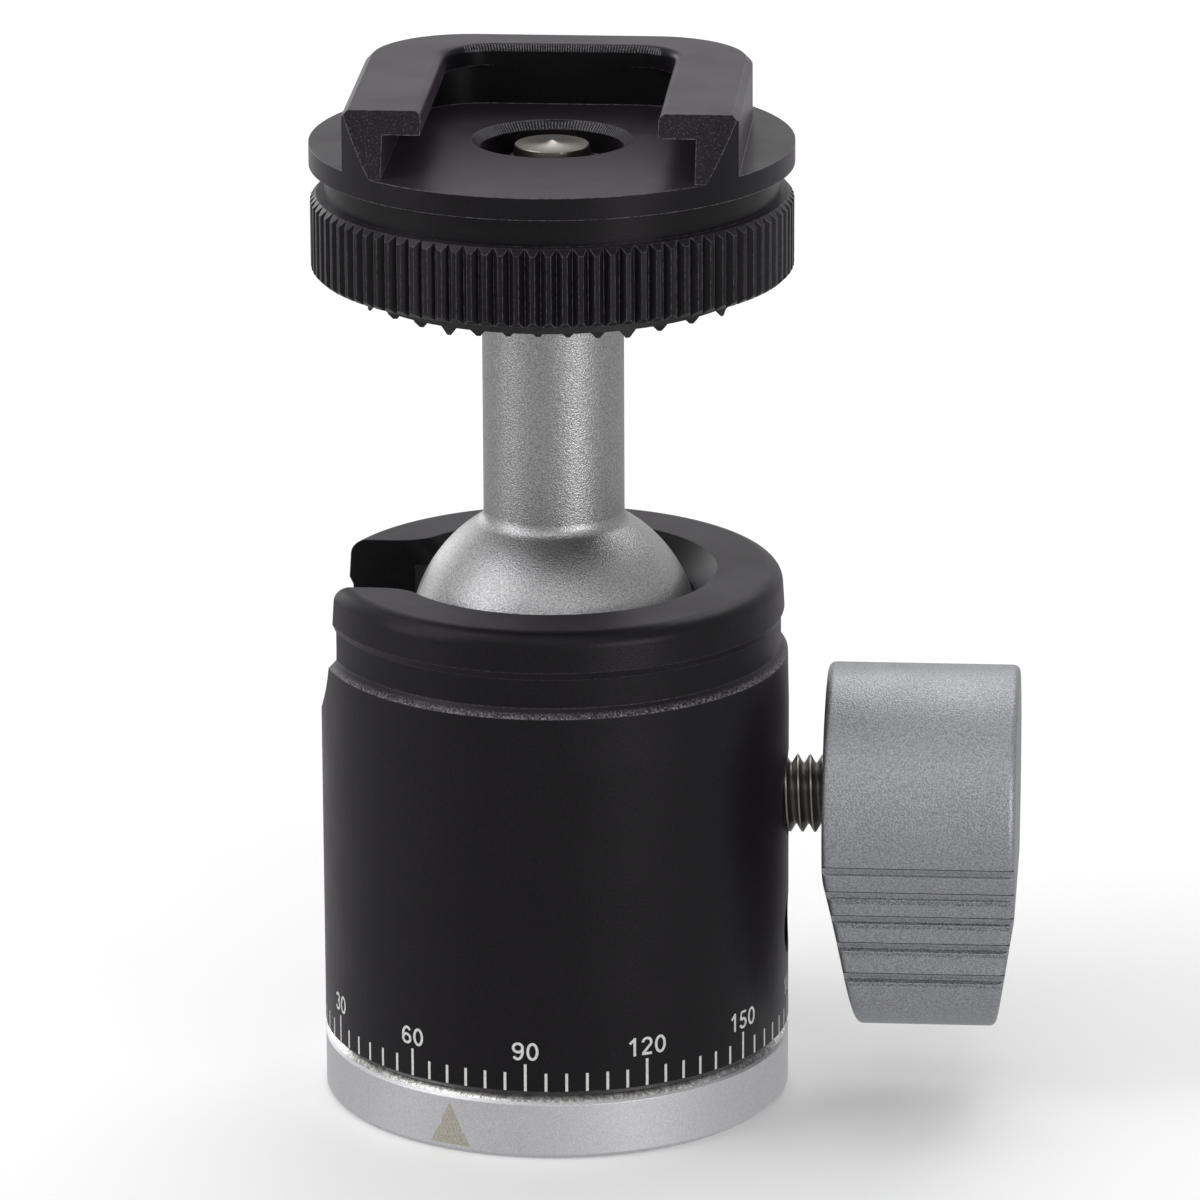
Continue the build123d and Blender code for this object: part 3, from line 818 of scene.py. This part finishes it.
# the cutter chattered at the back of the sink's chamfer and of the gap's rounded edge. Each row of
# ticks: its count in a full turn, and the middle and half size of the box that holds it.
shoe_axes = add(shoe_tree, "ShaderNodeSeparateXYZ", links={0: shoe_place["Object"]}).outputs
shoe_angle = add(
    shoe_tree,
    "ShaderNodeMath",
    links={0: shoe_axes["Y"], 1: shoe_axes["X"]},
    operation="ARCTAN2",
)
tick_depth = add(
    shoe_tree,
    "ShaderNodeMapRange",
    {"From Min": 0.35, "From Max": 0.65, "To Min": 0.15, "To Max": 0.9},
    {"Value": speck_grain.outputs["Fac"]},
).outputs["Result"]
for count, middle_at, half_size in (
    (150, (0, 2.53, 62.55), (5.06, 2.4, 0.24)),
    (370, (0, 8.7, 66.42), (6.3, 1.05, 0.2)),
):
    turned_by = add(
        shoe_tree, "ShaderNodeMath", {1: count}, {0: shoe_angle.outputs["Value"]}, operation="MULTIPLY"
    )
    wave = add(shoe_tree, "ShaderNodeMath", links={0: turned_by.outputs["Value"]}, operation="SINE")
    ticks = add(
        shoe_tree,
        "ShaderNodeMapRange",
        {"From Min": -0.3, "From Max": 0.8},
        {"Value": wave.outputs["Value"]},
    ).outputs["Result"]
    ticks = add(
        shoe_tree, "ShaderNodeMath", links={0: ticks, 1: tick_depth}, operation="MULTIPLY"
    ).outputs["Value"]
    for axis, centre, half in zip("XYZ", middle_at, half_size):
        inside = add(
            shoe_tree,
            "ShaderNodeMath",
            {1: centre * mm, 2: half * mm},
            {0: shoe_axes[axis]},
            operation="COMPARE",
        )
        ticks = add(
            shoe_tree,
            "ShaderNodeMath",
            links={0: ticks, 1: inside.outputs["Value"]},
            operation="MULTIPLY",
        ).outputs["Value"]
    under = shoe_edge_mix.inputs[6].links[0].from_socket
    chattered = add(
        shoe_tree, "ShaderNodeMix", {7: linear("#7C7A7E")}, {0: ticks, 6: under}, data_type="RGBA"
    )
    shoe_tree.links.new(chattered.outputs[2], shoe_edge_mix.inputs[6])
dress("shoe_socket", shoe_black)


# ---------------------------------------------------------------- Clamp screw
# M5 screw of stainless steel, glued into the knob. Its thread shows in the gap between the knob
# and the housing, and its inner end pushes the brass pin.

screw_low, screw_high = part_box("clamp_screw")
screw_radius = 2.5 * mm
screw_axis_z = (screw_low.z + screw_high.z) / 2
screw_end_radius = 1.9 * mm


def laid_along_x(grid, height):
    """The grid turned from the Z axis onto the line along +X at that height."""
    x, y, z = np.moveaxis(grid, -1, 0)
    return np.stack([z, y, height - x], -1)


screw_parts = [
    thread(screw_radius, 0.8 * mm, screw_low.x, screw_high.x, screw_end_radius),
    turned([(screw_end_radius, screw_low.x), (0, screw_low.x)]),
    turned([(screw_end_radius, screw_high.x), (0, screw_high.x)]),
]
threaded_screw = make_piece(
    "clamp_screw_thread",
    [laid_along_x(grid, screw_axis_z) for grid in screw_parts],
    stainless,
    "knob",
)
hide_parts("clamp_screw")


# ---------------------------------------------------------------- Knob
# Wing knob, extruded aluminium cut to length, blasted with coarse beads and anodised grey. The
# saw-tooth grips were milled across its flanks before the blasting.

knob_grey = bead_blasted(
    "knob_grey_anodised",
    tone="#B0B1B4",
    pit_tone="#8D8E92",
    roughness=0.45,
    metallic=0.85,
    pit=0.115 * mm,
    depth=0.038 * mm,
    edge_tone="#BFC0C4",
)

# under each step of the grips, on the flanks alone: a painted shadow just under the step, and under
# all but the first a rough strip that the beads missed. The steps' drops below the screw's axis, and
# each strip's distance below its step and half width, are in millimetres.
grip_drops = (2.2, 4.05, 5.9, 7.9, 10.1)
step_shadow = (0.08, 0.08)
rough_strip = (0.72, 0.24)
knob_tree = knob_grey.node_tree
knob_coordinates = add(knob_tree, "ShaderNodeTexCoord").outputs
knob_place = knob_coordinates["Object"]
knob_height = add(knob_tree, "ShaderNodeSeparateXYZ", links={0: knob_place}).outputs["Z"]
knob_facing = add(knob_tree, "ShaderNodeSeparateXYZ", links={0: knob_coordinates["Normal"]})
on_flank = add(
    knob_tree,
    "ShaderNodeMath",
    {1: 0.0, 2: 0.5},
    {0: knob_facing.outputs["X"]},
    operation="COMPARE",
)
strip_grain = add(
    knob_tree,
    "ShaderNodeTexNoise",
    {"Scale": 1 / (0.13 * mm), "Detail": 3.0, "Roughness": 0.6},
    {"Vector": knob_place},
)
strip_specks = add(
    knob_tree,
    "ShaderNodeMapRange",
    {"From Min": 0.46, "From Max": 0.62},
    {"Value": strip_grain.outputs["Fac"]},
)
specked_flank = add(
    knob_tree,
    "ShaderNodeMath",
    links={0: on_flank.outputs["Value"], 1: strip_specks.outputs["Result"]},
    operation="MULTIPLY",
)
knob_edges = knob_tree.nodes["Principled BSDF"].inputs["Base Color"].links[0].from_node
for drop in grip_drops:
    # the first strip is the painted shadow under the step
    strips = [(*step_shadow, "#3E3E40", on_flank)]
    if drop > grip_drops[0]:
        strips.append((*rough_strip, "#66676A", specked_flank))
    for below, half, tone, share_of in strips:
        at_strip = add(
            knob_tree,
            "ShaderNodeMath",
            {1: screw_axis_z - (drop + below) * mm, 2: half * mm},
            {0: knob_height},
            operation="COMPARE",
        )
        share = add(
            knob_tree,
            "ShaderNodeMath",
            links={0: at_strip.outputs["Value"], 1: share_of.outputs["Value"]},
            operation="MULTIPLY",
        )
        under = knob_edges.inputs[6].links[0].from_socket
        strip = add(
            knob_tree,
            "ShaderNodeMix",
            {7: linear(tone)},
            {0: share.outputs["Value"], 6: under},
            data_type="RGBA",
        )
        knob_tree.links.new(strip.outputs[2], knob_edges.inputs[6])
dress("knob", knob_grey)


# ---------------------------------------------------------------- Studio
# Pale paper sweep under soft light: softboxes in front, at both sides, above and behind, low ones
# behind that draw the edges, and an even fill from all round. The camera has a long lens and looks
# down on the head.

sweep_half = 2.0
sweep_front = -1.6
sweep_bend = 0.5
sweep_radius = 0.5
sweep_top = 1.8
bend = np.linspace(0, pi / 2, 17)
sweep_y = np.concatenate(
    [[sweep_front], sweep_bend + sweep_radius * np.sin(bend), [sweep_bend + sweep_radius]]
)
sweep_z = np.concatenate([[0], sweep_radius * (1 - np.cos(bend)), [sweep_top]])
sweep_x = np.array([-sweep_half, sweep_half])
paper_points = np.stack(
    [
        np.broadcast_to(sweep_x, (len(sweep_y), 2)),
        np.broadcast_to(sweep_y[:, None], (len(sweep_y), 2)),
        np.broadcast_to(sweep_z[:, None], (len(sweep_y), 2)),
    ],
    -1,
)
paper_index = np.arange(len(sweep_y) * 2).reshape(-1, 2)
paper_mesh = bpy.data.meshes.new("paper_sweep")
paper_mesh.from_pydata(
    paper_points.reshape(-1, 3).tolist(),
    [],
    [
        [row[0], row[1], above[1], above[0]]
        for row, above in zip(paper_index[:-1].tolist(), paper_index[1:].tolist())
    ],
)
paper_mesh.shade_smooth()
paper = bpy.data.materials.new("white_paper")
paper.use_nodes = True
paper_shader = paper.node_tree.nodes["Principled BSDF"]
paper_shader.inputs["Base Color"].default_value = linear("#FAFAFA")
paper_shader.inputs["Roughness"].default_value = 0.95
paper_shader.inputs["Specular IOR Level"].default_value = 0.1
paper_mesh.materials.append(paper)
sweep = bpy.data.objects.new("paper_sweep", paper_mesh)
bpy.context.scene.collection.objects.link(sweep)
sweep.visible_glossy = False

camera_azimuth = radians(4.7)
view_right = np.array([cos(camera_azimuth), sin(camera_azimuth), 0])
view_back = np.array([sin(camera_azimuth), -cos(camera_azimuth), 0])


light_distance = 800 * mm
lit_middle = Vector((0, 0, 35 * mm))


def softbox(name, turn, elevation, width, tall, power):
    """Rectangular light that faces the middle of the head. turn is its azimuth in degrees from the
    camera's side of the head, to the right, and elevation its height in degrees. Its width and
    height are in metres and its power in watts."""
    around, up = radians(turn), radians(elevation)
    side = view_back * cos(around) + view_right * sin(around)
    light = bpy.data.lights.new(name, "AREA")
    light.shape = "RECTANGLE"
    light.size = width
    light.size_y = tall
    light.energy = power
    made = bpy.data.objects.new(name, light)
    away = Vector(side * cos(up)) + Vector((0, 0, sin(up)))
    made.location = lit_middle + away * light_distance
    made.rotation_euler = away.to_track_quat("Z", "Y").to_euler()
    made.visible_camera = False
    bpy.context.scene.collection.objects.link(made)


softbox("front_softbox", 0, 45, 0.5, 0.3, 0.55)
softbox("left_softbox", -72, 20, 0.42, 0.7, 2.1)
softbox("left_top_softbox", -80, 55, 0.5, 0.3, 1.0)
softbox("right_softbox", 37, 5, 0.3, 0.2, 1.65)
softbox("rear_softbox", 160, 48, 0.6, 0.35, 1.6)
softbox("low_rear_softbox", 165, 9, 0.9, 0.2, 0.15)
softbox("left_rear_softbox", -148, 8, 0.4, 0.4, 0.9)
softbox("top_softbox", 180, 78, 0.5, 0.2, 0.5)

world = bpy.data.worlds.new("studio_fill")
world.use_nodes = True
world.node_tree.nodes["Background"].inputs["Color"].default_value = (1, 1, 1, 1)
world.node_tree.nodes["Background"].inputs["Strength"].default_value = 0.52
bpy.context.scene.world = world
bpy.context.scene.view_settings.view_transform = "Standard"

camera_distance = 485.8 * mm
camera_height = 182.6 * mm
aim_height = 32.45 * mm
aim_right = 2.9 * mm
camera_roll = radians(-0.25)
lens = bpy.data.cameras.new("camera")
lens.lens = 238.6
lens.sensor_width = 36.0
camera = bpy.data.objects.new("camera", lens)
eye = view_back * camera_distance + np.array([0, 0, camera_height])
target = view_right * aim_right + np.array([0, 0, aim_height])
camera.location = eye
aimed = Vector(target - eye).to_track_quat("-Z", "Y")
camera.rotation_euler = (aimed @ Quaternion((0, 0, 1), camera_roll)).to_euler()
bpy.context.scene.collection.objects.link(camera)
bpy.context.scene.camera = camera
